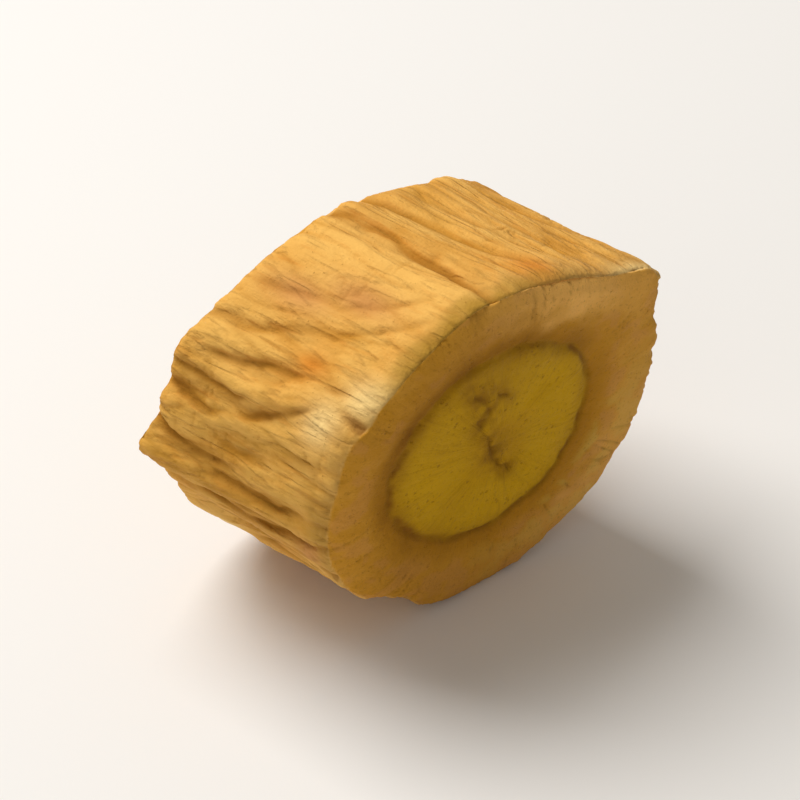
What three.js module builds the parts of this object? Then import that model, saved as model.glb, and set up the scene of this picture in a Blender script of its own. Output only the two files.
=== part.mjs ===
// One chopped piece of dried astragalus root, lying on its bark.
//
// The root grew as one body, so the piece is one closed solid: a squat drum of taproot whose two ends
// were cut by one chopper at the same slant. Its bark shrank into long furrows as it dried, the cut
// edges are a little worn, and each cut face has a shallow ring where the wood meets the inner bark.
//
// Millimetres, +Z up. +X runs along the root, towards the cut face called the front. Angles round
// the root are in degrees from +Y, over the top (+Z) and down to -Y. "Along" runs from 0 at the back
// cut to 1 at the front cut.

import * as THREE from "three";

// Driving dimensions
const DIAMETER = 14.1; // mean width of the root across its bark
const LENGTH = 8; // along the root, from cut to cut
const CUT_SLANT = 12; // degrees by which both cuts lean from square
const SLANT_SIDE = 40; // round the root: the side where both cuts lean forwards
const REST_DEPTH = 7.45; // from the root's middle line down to the flat spot that it lies on
const EDGE_WEAR = 0.38; // radius of the worn edge between bark and cut face
const WAIST = 0.12; // how much slimmer the root is halfway between its cuts

// Cut faces
const WOOD_SHARE = 0.593; // radius of the wood as a share of the root's
const WOOD_SHIFT = 0.101; // how far, as the same share, the wood sits off the middle
const WOOD_SIDE = 144; // round the root: the side that the wood sits towards
const RING_DEPTH = 0.12; // how far the ring between wood and bark has sunk
const RING_WIDTH = 0.06; // half-width of that ring, as a share of the root's radius
const BARK_SLUMP = 0.14; // how far the cut bark has shrunk back at its outer edge

// Broad swellings (+) and flats (-) of the outline: where, how high at the back cut and at the
// front cut, and how wide in degrees
const SWELLINGS = [
  { at: 33, back: 0.2, front: 0.62, spread: 10 }, // the keel along the top right
  { at: 54, back: -0.1, front: -0.3, spread: 12 },
  { at: 73, back: -0.45, front: -0.3, spread: 14 },
  { at: 103, back: -0.45, front: 0.32, spread: 14 },
  { at: 126, back: -0.25, front: 0.1, spread: 10 },
  { at: 149, back: 0.4, front: 0.4, spread: 11 },
  { at: 180, back: 0.75, front: -0.15, spread: 11 },
  { at: 208, back: -0.4, front: -0.35, spread: 17 },
  { at: 237, back: 0, front: -0.55, spread: 12 },
  { at: 276, back: 0.6, front: 0.75, spread: 19 }, // the belly, which the flat spot cuts
  { at: 314, back: 0.35, front: 0.65, spread: 24 },
  { at: 356, back: -0.35, front: 0, spread: 15 },
];

// Furrows on the side that shows: the angle of each at the back cut and at the front
// cut, where along the root it starts and ends, how deep it is and its half-width in degrees
const SHOWN_FURROWS = [
  { back: 57, front: 51, start: -0.3, end: 1.0, depth: 0.14, spread: 3.4 },
  { back: 71, front: 64, start: 0.0, end: 0.85, depth: 0.15, spread: 3.4 },
  { back: 84, front: 72, start: -0.3, end: 0.9, depth: 0.26, spread: 3.0 },
  { back: 91, front: 93, start: -0.3, end: 1.05, depth: 0.36, spread: 3.0 },
  { back: 128, front: 103, start: 0.1, end: 0.95, depth: 0.12, spread: 4.4 },
  { back: 140, front: 122, start: -0.3, end: 0.7, depth: 0.22, spread: 3.0 },
  { back: 148, front: 136, start: 0.0, end: 0.75, depth: 0.3, spread: 2.9 },
  { back: 152, front: 150, start: -0.3, end: 0.5, depth: 0.26, spread: 2.6 },
  { back: 161, front: 146, start: -0.3, end: 0.8, depth: 0.38, spread: 3.0 },
  { back: 169, front: 179, start: -0.3, end: 0.65, depth: 0.4, spread: 3.0 },
  { back: 165, front: 170, start: 0.2, end: 0.8, depth: 0.24, spread: 2.6 },
  { back: 158, front: 165, start: 0.5, end: 1.1, depth: 0.2, spread: 2.8 },
  { back: 175, front: 182, start: 0.2, end: 0.95, depth: 0.38, spread: 3.0 },
  { back: 192, front: 193, start: -0.3, end: 1.05, depth: 0.4, spread: 3.2 },
  { back: 207, front: 204, start: -0.1, end: 1.05, depth: 0.3, spread: 3.2 },
];

// Furrows on the far side and underneath follow one rule: evenly stepped, each shifted, leaning and
// deepened a little by a draw
const HIDDEN_FURROWS = { from: 212, to: 396, step: 11.5, shift: 2, lean: 4.5, depth: 0.32, spread: 3.2 };
const DEPTH_RANGE = { low: 0.6, high: 1.5 }; // shares of that depth
const START_RANGE = { low: -0.4, high: 0.1 }; // where along the root a hidden furrow starts
const END_RANGE = { low: 0.8, high: 1.3 }; // and where it ends
const SEED = 7;
const WANDER = { degrees: 1.3, turns: 0.8, next: 0.33 }; // how a furrow strays from its straight line
const FURROW_FADE = 0.3; // share of the length over which a furrow starts or ends
const FRONT_WEAR = { from: 0.75, share: 0.5 }; // how much of each furrow is worn away at the front cut

// A nick in the front edge, where a flake of bark came off
const NICK = { at: 143, depth: 0.26, spread: 3, reach: 0.13 };

// Share of the half-length from which a point moves with the relief of its cut face
const FACE_REACH = 0.85;

// Mesh steps
const STEPS_ROUND = 160;
const STEPS_ALONG = 12;
const STEPS_EDGE = 3;
const FACE_SHARES = [0.3, 0.52, WOOD_SHARE, 0.74, 0.87]; // rings of each cut face, from the middle out

const radians = THREE.MathUtils.degToRad;
const { lerp, smoothstep } = THREE.MathUtils;

// A smooth bump of height 1 at 0 that has faded out by about three spreads.
const bump = (offset, spread) => Math.exp(-((offset / spread) ** 2));

// The shortest way round from one angle to another, in degrees.
const turn = (from, to) => THREE.MathUtils.euclideanModulo(to - from + 180, 360) - 180;

// The furrows of the far side, each with its own draws. A seed gives the same draws every time.
function hiddenFurrows({ from, to, step, shift, lean, depth, spread }) {
  THREE.MathUtils.seededRandom(SEED);
  const draw = (low, high) => lerp(low, high, THREE.MathUtils.seededRandom());
  const furrows = [];
  for (let at = from; at < to; at += step) {
    const back = at + draw(-shift, shift);
    const front = back + draw(-lean, lean);
    const start = draw(START_RANGE.low, START_RANGE.high);
    const end = draw(END_RANGE.low, END_RANGE.high);
    furrows.push({ back, front, start, end, depth: depth * draw(DEPTH_RANGE.low, DEPTH_RANGE.high), spread });
  }
  return furrows;
}

const FURROWS = [...SHOWN_FURROWS, ...hiddenFurrows(HIDDEN_FURROWS)];

// How deep the bark has sunk at a place, in millimetres.
function furrowDepth(degrees, along) {
  const worn = 1 - FRONT_WEAR.share * smoothstep(along, FRONT_WEAR.from, 1);
  return FURROWS.reduce((depth, furrow, n) => {
    const wave = Math.sin(2 * Math.PI * (WANDER.turns * along + WANDER.next * n));
    const middle = lerp(furrow.back, furrow.front, along) + WANDER.degrees * wave;
    const begun = smoothstep(along, furrow.start, furrow.start + FURROW_FADE);
    const open = begun * smoothstep(furrow.end - along, 0, FURROW_FADE);
    return depth + worn * open * furrow.depth * bump(turn(middle, degrees), furrow.spread);
  }, 0);
}

// Depth of the nick at the front edge.
const nickDepth = (degrees, along) =>
  NICK.depth * bump(turn(NICK.at, degrees), NICK.spread) * bump(1 - along, NICK.reach);

// The root's radius without its furrows.
function broadRadius(degrees, along) {
  const swelling = SWELLINGS.reduce(
    (sum, { at, back, front, spread }) => sum + lerp(back, front, along) * bump(turn(at, degrees), spread),
    0,
  );
  return DIAMETER / 2 + swelling - WAIST * Math.sin(Math.PI * along);
}

// The root's radius at the bark. Downwards it stops at the flat spot.
function barkRadius(degrees, along) {
  const grown = broadRadius(degrees, along) - furrowDepth(degrees, along) - nickDepth(degrees, along);
  const down = -Math.sin(radians(degrees));
  return down > 0 ? Math.min(grown, REST_DEPTH / down) : grown;
}

// How far a cut face stands in or out of its plane, for a share of the root's radius.
const faceRelief = (share) =>
  -RING_DEPTH * bump(share - WOOD_SHARE, RING_WIDTH) - BARK_SLUMP * smoothstep(share, WOOD_SHARE, 1) ** 2;

// Half of the lathe's outline, from the middle of a cut face to the middle of the drum. x is the
// share of the radius, and y runs from -1 at the back cut to 1 at the front.
function halfOutline(side) {
  const edge = { share: EDGE_WEAR / (DIAMETER / 2), along: EDGE_WEAR / (LENGTH / 2) };
  const outline = [0, ...FACE_SHARES].map((share) => new THREE.Vector2(share, side));
  for (let step = 0; step <= STEPS_EDGE; step += 1) {
    const angle = (step / STEPS_EDGE) * (Math.PI / 2);
    const share = 1 - edge.share * (1 - Math.sin(angle));
    const along = 1 - edge.along * (1 - Math.cos(angle));
    outline.push(new THREE.Vector2(share, side * along));
  }
  const steps = STEPS_ALONG / 2;
  for (let step = 1; step < steps; step += 1) {
    outline.push(new THREE.Vector2(1, side * (1 - edge.along) * (1 - step / steps)));
  }
  return outline;
}

// The drum as turned on a lathe, with radius 1, its axis along Y and its length from -1 to 1.
function turnedDrum() {
  const middle = new THREE.Vector2(1, 0);
  const outline = [...halfOutline(-1), middle, ...halfOutline(1).reverse()];
  return new THREE.LatheGeometry(outline, STEPS_ROUND);
}

// Moves a point of the turned drum to its place on the root.
function grow(point) {
  const share = Math.hypot(point.x, point.z);
  const degrees = THREE.MathUtils.radToDeg(Math.atan2(point.x, point.z));
  const along = (point.y + 1) / 2;
  const bark = smoothstep(share, WOOD_SHARE, 1);
  const between = 4 * share * (1 - share); // 0 in the middle and at the bark, 1 halfway
  const shifted = share + WOOD_SHIFT * between * Math.cos(radians(degrees - WOOD_SIDE));
  const radius = shifted * lerp(broadRadius(degrees, along), barkRadius(degrees, along), bark);
  const y = radius * Math.cos(radians(degrees));
  const z = radius * Math.sin(radians(degrees));
  const forwards = radius * Math.cos(radians(degrees - SLANT_SIDE));
  const onFace = smoothstep(Math.abs(point.y), FACE_REACH, 1) * Math.sign(point.y);
  const x = (point.y * LENGTH) / 2 + forwards * Math.tan(radians(CUT_SLANT));
  return point.set(x + onFace * faceRelief(share), y, z);
}

// The whole piece, moved so that it lies on z = 0 with the middle of its box over the origin.
function rootPiece() {
  const geometry = turnedDrum();
  const place = geometry.getAttribute("position");
  const point = new THREE.Vector3();
  for (let i = 0; i < place.count; i += 1) {
    grow(point.fromBufferAttribute(place, i));
    place.setXYZ(i, point.x, point.y, point.z);
  }
  geometry.deleteAttribute("normal");
  geometry.computeBoundingBox();
  const { min, max } = geometry.boundingBox;
  return geometry.translate(-(min.x + max.x) / 2, -(min.y + max.y) / 2, -min.z);
}

const bark = new THREE.MeshStandardMaterial({ color: 0xd9a35c, roughness: 0.8, metalness: 0 });

const cutRoot = new THREE.Mesh(rootPiece(), bark);
cutRoot.name = "cut_root";

const group = new THREE.Group();
group.add(cutRoot);

export default group;
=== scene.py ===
"""The looks of one chopped piece of dried astragalus root: furrowed tan bark and two yellow cut faces.

The piece lies on its bark. Angles round the root are in degrees from +Y, over the top and down to -Y.
"Along" runs from 0 at the back cut to 1 at the front cut, and "share" from 0 at the pith to 1 at the
bark. Shapes are worked out in millimetres, and the finished mesh is in metres.
"""

import math

import bpy
import numpy as np
from bpy.props import FloatProperty, FloatVectorProperty, PointerProperty
from mathutils import Matrix, Vector, noise
from mathutils.bvhtree import BVHTree


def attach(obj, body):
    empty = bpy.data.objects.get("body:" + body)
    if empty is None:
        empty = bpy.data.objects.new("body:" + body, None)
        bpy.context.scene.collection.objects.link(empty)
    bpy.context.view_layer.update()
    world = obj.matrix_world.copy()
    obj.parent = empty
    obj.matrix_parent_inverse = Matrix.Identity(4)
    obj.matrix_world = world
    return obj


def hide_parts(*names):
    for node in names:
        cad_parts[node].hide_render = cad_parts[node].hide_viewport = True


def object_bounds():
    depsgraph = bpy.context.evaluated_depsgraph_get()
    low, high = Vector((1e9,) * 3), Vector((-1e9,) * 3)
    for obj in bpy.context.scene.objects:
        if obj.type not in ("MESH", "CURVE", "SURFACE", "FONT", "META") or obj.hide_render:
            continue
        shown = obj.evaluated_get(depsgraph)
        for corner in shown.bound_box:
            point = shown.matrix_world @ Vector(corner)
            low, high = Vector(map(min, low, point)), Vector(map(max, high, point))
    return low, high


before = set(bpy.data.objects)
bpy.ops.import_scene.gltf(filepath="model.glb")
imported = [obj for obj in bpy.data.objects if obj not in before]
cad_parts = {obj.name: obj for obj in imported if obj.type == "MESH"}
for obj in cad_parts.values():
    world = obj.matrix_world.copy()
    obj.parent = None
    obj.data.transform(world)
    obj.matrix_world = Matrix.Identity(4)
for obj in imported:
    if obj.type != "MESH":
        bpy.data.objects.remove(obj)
SOLID_BOX = [list(corner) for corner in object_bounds()]

bl_info = {
    "name": "Cut Astragalus Root",
    "version": (1, 0, 0),
    "blender": (4, 5, 0),
    "location": "3D View > Sidebar > Cut Root",
    "description": "Finishes the solid of a chopped, dried astragalus root with bark and cut faces",
    "category": "Object",
}

NODE = "cut_root"
MILLIMETRE = 0.001

# The root's own line and cuts, as its solid has them
MIDDLE = (-0.07, 0.37, 7.45)  # middle of the root, millimetres
LENGTH = 8.0  # from cut to cut, millimetres
MEAN_RADIUS = 7.0
CUT_SLANT = 12.0  # degrees by which both cuts lean from square
SLANT_SIDE = 40.0  # side where both cuts lean forwards, degrees round the root
WOOD_SHARE = 0.59  # where the wood ends, as a share of the radius
WOOD_SHIFT = 0.063  # how far the wood sits off the middle, as the same share
WOOD_SIDE = 149.0  # the side that it sits towards, degrees round the root
WOOD_OVAL = 0.021  # how much the wood is wider along one line than across it, as the same share
OVAL_SIDE = 135.0  # that line

# Creases on the side that shows: how deep, as a share, and their course as angle and along
SHOWN_CREASES = [
    (1.0, [(92, -0.05), (90, 0.15), (90, 0.3), (91, 0.5), (92, 0.72), (94, 0.97)]),
    (0.6, [(83, -0.02), (80, 0.14), (78, 0.4), (76, 0.62), (73, 0.86)]),
    (0.35, [(70, 0.1), (66, 0.5), (65, 0.8)]),
    (0.4, [(57, -0.02), (56, 0.4), (52, 0.95)]),
    (0.4, [(126, 0.06), (122, 0.31), (120, 0.5), (112, 0.66), (104, 0.8)]),
    (0.5, [(139, -0.02), (137, 0.12), (135, 0.28), (130, 0.41), (127, 0.58), (118, 0.75), (109, 0.9)]),
    (0.9, [(146, 0.12), (145, 0.27), (142, 0.42), (141, 0.56), (140, 0.63)]),
    (1.1, [(152, -0.02), (151, 0.08), (152, 0.22), (152, 0.36), (149, 0.46)]),
    (0.8, [(159, -0.02), (160, 0.12), (161, 0.27), (158, 0.4)]),
    (1.0, [(159, 0.36), (154, 0.56), (148, 0.69), (145, 0.76)]),
    (0.9, [(140, 0.68), (138, 0.84)]),
    (1.5, [(143, 0.82), (145, 1.0)]),
    (1.2, [(168, -0.02), (170, 0.12), (172, 0.25), (173, 0.36), (174, 0.47)]),
    (0.6, [(166, 0.3), (168, 0.42), (168, 0.63)]),
    (0.5, [(161, 0.62), (162, 0.82), (165, 0.93)]),
    (0.85, [(177, 0.3), (179, 0.44), (181, 0.56), (182, 0.69), (179, 0.86)]),
    (0.5, [(170, 0.78), (171, 0.96)]),
    (0.8, [(180, 0.84), (179, 0.98)]),
    (1.2, [(186, 0.02), (193, 0.15), (195, 0.33), (197, 0.49), (195, 0.63), (192, 0.81), (188, 0.98)]),
    (1.1, [(205, 0.0), (208, 0.4), (206, 0.7), (203, 0.98)]),
]
# Where the furrows run a little further round than in the solid: place, reach and degrees
FURROW_TURNS = [
    {"angle": 92.0, "along": 0.5, "wide": 12.0, "long": 1.5, "turn": 3.5},
    {"angle": 151.0, "along": 0.2, "wide": 6.0, "long": 0.4, "turn": 3.0},
    {"angle": 171.0, "along": 0.2, "wide": 9.0, "long": 0.35, "turn": 5.0},
    {"angle": 192.0, "along": 0.6, "wide": 12.0, "long": 0.5, "turn": 1.3},
]
TURNED_FROM = (4.5, 6.0)  # radii in millimetres between which the turning sets in
HIDDEN_CREASES = {"first": 217.0, "last": 405.0, "step": 8.5, "shift": 2.5, "bend": 3.0, "seed": 5}

# Stains and worn places of the bark: where they are round and along the root, and how far they reach
STAINS = [
    {"kind": "pink", "angle": 115.0, "along": 0.54, "wide": 5.0, "long": 0.17},
    {"kind": "pink", "angle": 122.0, "along": 0.3, "wide": 5.0, "long": 0.17},
    {"kind": "rust", "angle": 137.0, "along": 0.58, "wide": 3.6, "long": 0.08},
    {"kind": "rust", "angle": 75.0, "along": 0.84, "wide": 6.0, "long": 0.11},
    {"kind": "pink", "angle": 197.0, "along": 0.85, "wide": 6.0, "long": 0.08},
    {"kind": "rust", "angle": 252.0, "along": 0.4, "wide": 9.0, "long": 0.12},
    {"kind": "pink", "angle": 305.0, "along": 0.62, "wide": 10.0, "long": 0.2},
    {"kind": "rust", "angle": 352.0, "along": 0.25, "wide": 7.0, "long": 0.12},
]
# Rubbed pale places; the first, at the front rim's edge, is partly a painted highlight where that edge
# catches light
SCUFFS_AND_HIGHLIGHTS = [
    {"angle": 138.0, "along": 0.89, "wide": 6.0, "long": 0.1},
    {"angle": 148.5, "along": 0.79, "wide": 6.5, "long": 0.09},
    {"angle": 40.0, "along": 0.96, "wide": 9.0, "long": 0.05},
    {"angle": 228.0, "along": 0.2, "wide": 8.0, "long": 0.07},
    {"angle": 330.0, "along": 0.8, "wide": 9.0, "long": 0.08},
]
SCARS = [
    {"angle": 63.0, "along": 0.52, "wide": 4.0, "long": 0.25},
    {"angle": 236.0, "along": 0.68, "wide": 9.0, "long": 0.45},
    {"angle": 259.0, "along": 0.25, "wide": 6.0, "long": 0.3},
    {"angle": 297.0, "along": 0.4, "wide": 10.0, "long": 0.5},
    {"angle": 331.0, "along": 0.7, "wide": 6.0, "long": 0.35},
    {"angle": 9.0, "along": 0.35, "wide": 8.0, "long": 0.4},
]
SHOWN_SIDE = {"angle": 125.0, "reach": 75.0, "fade": 25.0}  # its folds are the listed creases
SMOOTH_BARK = {"angle": 92.0, "wide": 40.0}
FURROW_DEPTH = 0.5  # millimetres: a furrow this deep keeps the most of it, and shallower ones get narrower
FURROW_KEPT = 0.5  # share of that depth which it keeps
GROOVE_LIMIT = 0.16  # millimetres past which a furrow's bottom is hardly deepened further
GROOVE_DARKEST_DEPTH = 0.13  # millimetres of depth at which a furrow's bottom is brownest: partly browner bark, partly painted shade
FOLD_SWAY = 0.45  # millimetres by which folds and wrinkles stray from straight lines
CREASE_WIDTH = 0.15  # half-width in millimetres
CREASE_SWAY = 0.16  # millimetres by which a crease strays from its course
CREASE_FADE = 0.12  # share of the length over which a crease runs out

# Edges of the cuts: how far from the cut, as a share of half the length, and from which share of the radius
FRAYED = {"reach": 0.1, "from": 0.85}
WORN = {"reach": 0.14, "from": 0.88}

# The dark ring, in millimetres: its half-width, and the sides where it is wider and where it is faint
RING = {"width": 0.23, "uneven": 0.25, "wide_side": 200.0}
FAINT_RING = {"angle": 108.0, "wide": 45.0, "amount": 0.35}
# The paler stain on both sides of the ring, and the side where there is more of it
SKIRT = {"width": 0.62, "shift": 0.12, "amount": 0.45, "more": 0.5, "side": 135.0}

# Sides of the root where the cuts are browner or greener, their rims pale (partly a painted highlight where a
# rim catches light), worn or olive, and the bark olive (painted shade on the less lit side)
BROWNED = [
    {"angle": 112.0, "wide": 42.0, "amount": 0.75},
    {"angle": 228.0, "wide": 26.0, "amount": 0.4},
]
# Paler rims of the cuts: partly paler cut bark, partly a painted highlight where the rim catches light
PALE_AND_LIT_RIMS = [
    {"angle": 66.0, "wide": 30.0, "amount": 1.0},
    {"angle": 318.0, "wide": 38.0, "amount": 0.5},
]
WORN_RIMS = [
    {"angle": 68.0, "wide": 26.0, "amount": 1.0},
    {"angle": 115.0, "wide": 30.0, "amount": 0.6},
    {"angle": 184.0, "wide": 18.0, "amount": 0.4},
    {"angle": 250.0, "wide": 40.0, "amount": 0.3},
]
OLIVE_RIMS = [
    {"angle": 112.0, "wide": 42.0, "amount": 1.0},
    {"angle": 184.0, "wide": 20.0, "amount": 0.6},
]
# painted shade: the less lit side of the bark is coloured olive
SHADED_SIDE = [{"angle": 178.0, "wide": 36.0, "amount": 1.0}]
DUSTY = {"angle": 62.0, "wide": 36.0, "amount": 1.0}  # where dust near the front cut reaches further
GREENER = [{"angle": 318.0, "wide": 40.0, "amount": 1.0}]

# Cracks in the cut faces, from one place to the next: angle, share
FRONT_CRACKS = [
    [(113.0, 0.53), (109.0, 0.36), (128.0, 0.2), (150.0, 0.08), (250.0, 0.08)],
    [(250.0, 0.08), (292.0, 0.24)],
    [(104.0, 0.42), (90.0, 0.33)],
]
BACK_CRACKS = [
    [(300.0, 0.5), (320.0, 0.22), (20.0, 0.12), (110.0, 0.3)],
    [(200.0, 0.4), (150.0, 0.18)],
]
CRACK_SWAY = 0.3  # millimetres by which a crack strays from its line
CRACK_STAIN = 0.55  # millimetres that the stain beside a crack reaches

# Noises of the shape and the masks: how many swells fit in a millimetre (for some along, across and up),
# a seed, and the number of octaves
NOISES = {
    "folds": ((0.13, 0.95, 0.95), 1, 2),
    "wrinkles": ((0.5, 2.8, 2.8), 2, 3),
    "sway": ((0.28, 0.4, 0.4), 3, 2),
    "swells": ((0.25, 0.55, 0.55), 6, 2),
    "cross_cracks": ((2.4, 0.5, 0.5), 7, 2),
    "cracked_places": (0.45, 8, 2),
    "scar_grain": (1.1, 9, 2),
    "ring_wobble": (0.7, 11, 2),
    "fine_ring_wobble": (2.2, 12, 2),
    "splits": (1.0, 13, 2),
    "split_places": (0.5, 14, 2),
    "rays": ((2.4, 2.4, 1.0), 15, 2),
    "ring_depth": (1.5, 16, 2),
    "grit": (4.5, 17, 3),
    "crack_sway": (1.3, 18, 3),
    "crack_places": (1.7, 20, 2),
    "blade_sway": (0.3, 21, 2),
    "split_reach": (0.7, 22, 2),
    "ring_patches": (1.1, 23, 3),
    "skirt_patches": (0.6, 24, 3),
    "brown_patches": (0.5, 25, 3),
    "rim_patches": (0.8, 26, 3),
    "ragged": (1.6, 31, 3),
    "fray": (1.9, 32, 2),
    "mottled": (0.9, 33, 3),
    "crease_sway": (0.6, 41, 3),
    "crease_strength": (0.7, 43, 2),
}
BLADE_MARKS = (3.1, 9.4)  # waves of the blade's marks across and up the cut, in radians per millimetre

# The finished mesh
MESH_STEP = 0.097  # millimetres between its points
MESH_SMOOTHINGS = 4

# Patterns of the material: swells per metre, and for the rays swells round the pith
PATTERNS = {
    "fibres": 3600.0,
    "lines": 2100.0,
    "specks": 9000.0,
    "clouds": 420.0,
    "pores": 3300.0,
    "rays": 17.0,
}
BARK_STRETCH = (0.14, 1.0, 1.0)  # fibres of the bark run along the root
FACE_STRETCH = (1.0, 1.0, 1.0)

# The stage: the sides that the lights stand on, their sizes in metres, and colours
KEY_LIGHT = {"side": (-0.5, -0.1, 0.86), "size": 0.14, "colour": (1.0, 0.975, 0.95)}
FILL_LIGHT = {"side": (0.3, -0.8, 0.5), "size": 0.16, "colour": (1.0, 0.98, 0.95)}
LIGHT_DISTANCE = 0.2  # metres
SKY_COLOUR = (1.0, 0.965, 0.9)
FLOOR_SIZE = 2.0  # metres


def from_srgb(red, green, blue):
    """A colour as seen on a screen, 0 to 255, as the linear values that Blender mixes."""

    def linear(value):
        value /= 255
        return value / 12.92 if value <= 0.04045 else ((value + 0.055) / 1.055) ** 2.4

    return (linear(red), linear(green), linear(blue))


def colour_property(name, description, default):
    return FloatVectorProperty(
        name=name, description=description, default=default, subtype="COLOR", size=3, min=0, max=1
    )


def length_property(name, description, default):
    return FloatProperty(name=name, description=description, default=default, unit="LENGTH", min=0)


def angle_property(name, description, degrees):
    return FloatProperty(name=name, description=description, default=math.radians(degrees), subtype="ANGLE")


def power_property(name, description, default):
    return FloatProperty(name=name, description=description, default=default, unit="POWER", min=0)


def plain_property(name, description, default, high):
    return FloatProperty(name=name, description=description, default=default, min=0, max=high)


class RootBarkSettings(bpy.types.PropertyGroup):
    """Sizes and colours of the bark."""

    fold_depth: length_property("Fold Depth", "Depth of the creases between folds", 0.00015)
    wrinkle_depth: length_property("Wrinkle Depth", "Depth of the fine wrinkles", 0.00006)
    furrow_sharpness: plain_property("Furrow Sharpness", "How much deeper the furrows' bottoms get", 0.6, 3)
    crease_depth: length_property("Crease Depth", "Depth of the long narrow creases", 0.00015)
    scar_height: length_property("Scar Height", "Height of the scars across the bark", 0.00006)
    swell: length_property("Swell", "Height of the broad unevenness", 0.00007)
    fray: length_property("Fray", "How ragged the cut edges are", 0.00006)
    rim_wear: length_property("Rim Wear", "How far the cuts' edges are worn where they are roundest", 0.0004)
    tan: colour_property("Tan", "Bark between folds and hollows", from_srgb(224, 162, 70))
    # Pale Tan is paler bark in patches, and on the crests of the folds a painted highlight
    pale_and_highlight: colour_property("Pale Tan", "Bark on the folds", from_srgb(242, 191, 102))
    # Amber is painted shade: the bark is coloured darker and more saturated in its hollows
    amber_shade: colour_property("Amber", "Bark in the hollows", from_srgb(206, 142, 30))
    # Cream is rubbed bark, and also a painted highlight along the cuts' edges and at the front rim
    cream_and_highlight: colour_property("Cream", "Bark where it is rubbed", from_srgb(252, 216, 142))
    grey: colour_property("Dusty Tan", "Bark near the front cut", from_srgb(208, 162, 90))
    # Olive is the bark at a cut's worn rim, and painted shade on the less lit side
    olive_and_shade: colour_property("Olive", "Bark at the worn rim of a cut", from_srgb(177, 133, 41))
    # Furrow Brown is partly the darker bark of furrows, creases, lines and specks, partly painted shade deep
    # in the furrows and creases
    brown_and_shade: colour_property("Furrow Brown", "Bark deep in the furrows", from_srgb(136, 82, 6))
    pink: colour_property("Pink", "Inner bark that shows through", from_srgb(208, 144, 82))
    rust: colour_property("Rust", "Darker stains", from_srgb(216, 132, 36))


class RootFaceSettings(bpy.types.PropertyGroup):
    """Sizes and colours of the two cut faces."""

    ring_depth: length_property("Ring Depth", "Depth of the line between wood and bark", 0.00009)
    fissure_depth: length_property("Fissure Depth", "Depth of the splits in the cut bark", 0.00005)
    ray_depth: length_property("Ray Depth", "Depth of the rays in the wood", 0.00002)
    crack_depth: length_property("Crack Depth", "Depth of the cracks near the pith", 0.00007)
    grit: length_property("Grit", "Roughness left by the blade", 0.000016)
    wood: colour_property("Wood", "Yellow of the wood", from_srgb(212, 163, 4))
    pith: colour_property("Pith", "Middle of the wood", from_srgb(204, 152, 8))
    ring: colour_property("Ring", "Line between wood and bark", from_srgb(130, 81, 0))
    flesh: colour_property("Inner Bark", "Cut bark next to the ring", from_srgb(196, 136, 18))
    rosy: colour_property("Rosy Bark", "Patches of the cut bark near its rim", from_srgb(206, 144, 70))
    green: colour_property("Green Bark", "Greener patches of the cut bark", from_srgb(206, 168, 66))
    skin: colour_property("Outer Bark", "Cut bark further out", from_srgb(204, 144, 38))
    # Cream is partly paler cut bark, partly a painted highlight on the rims
    cream_and_highlight: colour_property("Cream", "Pale rim of the cut bark", from_srgb(254, 192, 98))
    crack: colour_property("Crack", "Inside of the cracks", from_srgb(116, 74, 4))


class RootStageSettings(bpy.types.PropertyGroup):
    """Camera, light and floor."""

    azimuth: angle_property("Azimuth", "Camera's place round the piece", 41)
    elevation: angle_property("Elevation", "Camera's height", 41.7)
    lens: plain_property("Lens", "Focal length in millimetres", 300, 600)
    view_width: length_property("View Width", "Width of the picture at the piece", 0.0262)
    floor_colour: colour_property("Floor", "Colour of the floor", (0.86, 0.85, 0.83))
    key_strength: power_property("Key Light", "Power of the main light", 0.42)
    fill_strength: power_property("Fill Light", "Power of the fill", 0.035)
    sky_strength: plain_property("Sky", "Strength of the light all round", 0.28, 5)


def smoothstep(value, low, high):
    t = np.clip((value - low) / (high - low), 0, 1)
    return t * t * (3 - 2 * t)


def bump(value, spread):
    return np.exp(-((value / spread) ** 2))


def turn_to(angle, goal):
    """The shortest way round from angle to goal, in degrees."""
    return (goal - angle + 180) % 360 - 180


def noise_at(places, stretch, seed, octaves):
    """Smooth noise, about -1 to 1, at each place. Stretch is how many swells fit in a millimetre."""
    moved = (places * np.array(stretch) + 17.3 * seed).tolist()
    return np.array([noise.fractal(place, 1.0, 2.0, octaves) for place in moved])


def named_noise(name, places):
    """The listed noise at each place."""
    stretch, seed, octaves = NOISES[name]
    return noise_at(places, stretch, seed, octaves)


def noise_columns(name, places, count):
    """The listed noise several times over, each with the next seed, as columns."""
    stretch, seed, octaves = NOISES[name]
    return np.column_stack([noise_at(places, stretch, seed + turn, octaves) for turn in range(count)])


def lines_at_nought(values, width):
    """1 along the lines where a noise crosses nought, falling to 0 within the width."""
    return bump(values, width)


def root_places(points):
    """Angle, along and radius of each point."""
    across = points - np.array(MIDDLE)
    angle = np.degrees(np.arctan2(across[:, 2], across[:, 1])) % 360
    radius = np.hypot(across[:, 1], across[:, 2])
    forwards = radius * np.cos(np.radians(angle - SLANT_SIDE)) * math.tan(math.radians(CUT_SLANT))
    along = (across[:, 0] - forwards) / LENGTH + 0.5
    return angle, along, radius


def near_place(angle, along, place):
    """1 at the listed place, fading round and along the root."""
    return bump(turn_to(angle, place["angle"]), place["wide"]) * bump(along - place["along"], place["long"])


def furrow_turn(angle, along):
    """How many degrees further round the furrows run here than in the solid."""
    turn = np.zeros(np.shape(angle))
    for place in FURROW_TURNS:
        turn = turn + place["turn"] * near_place(angle, along, place)
    return turn


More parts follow.
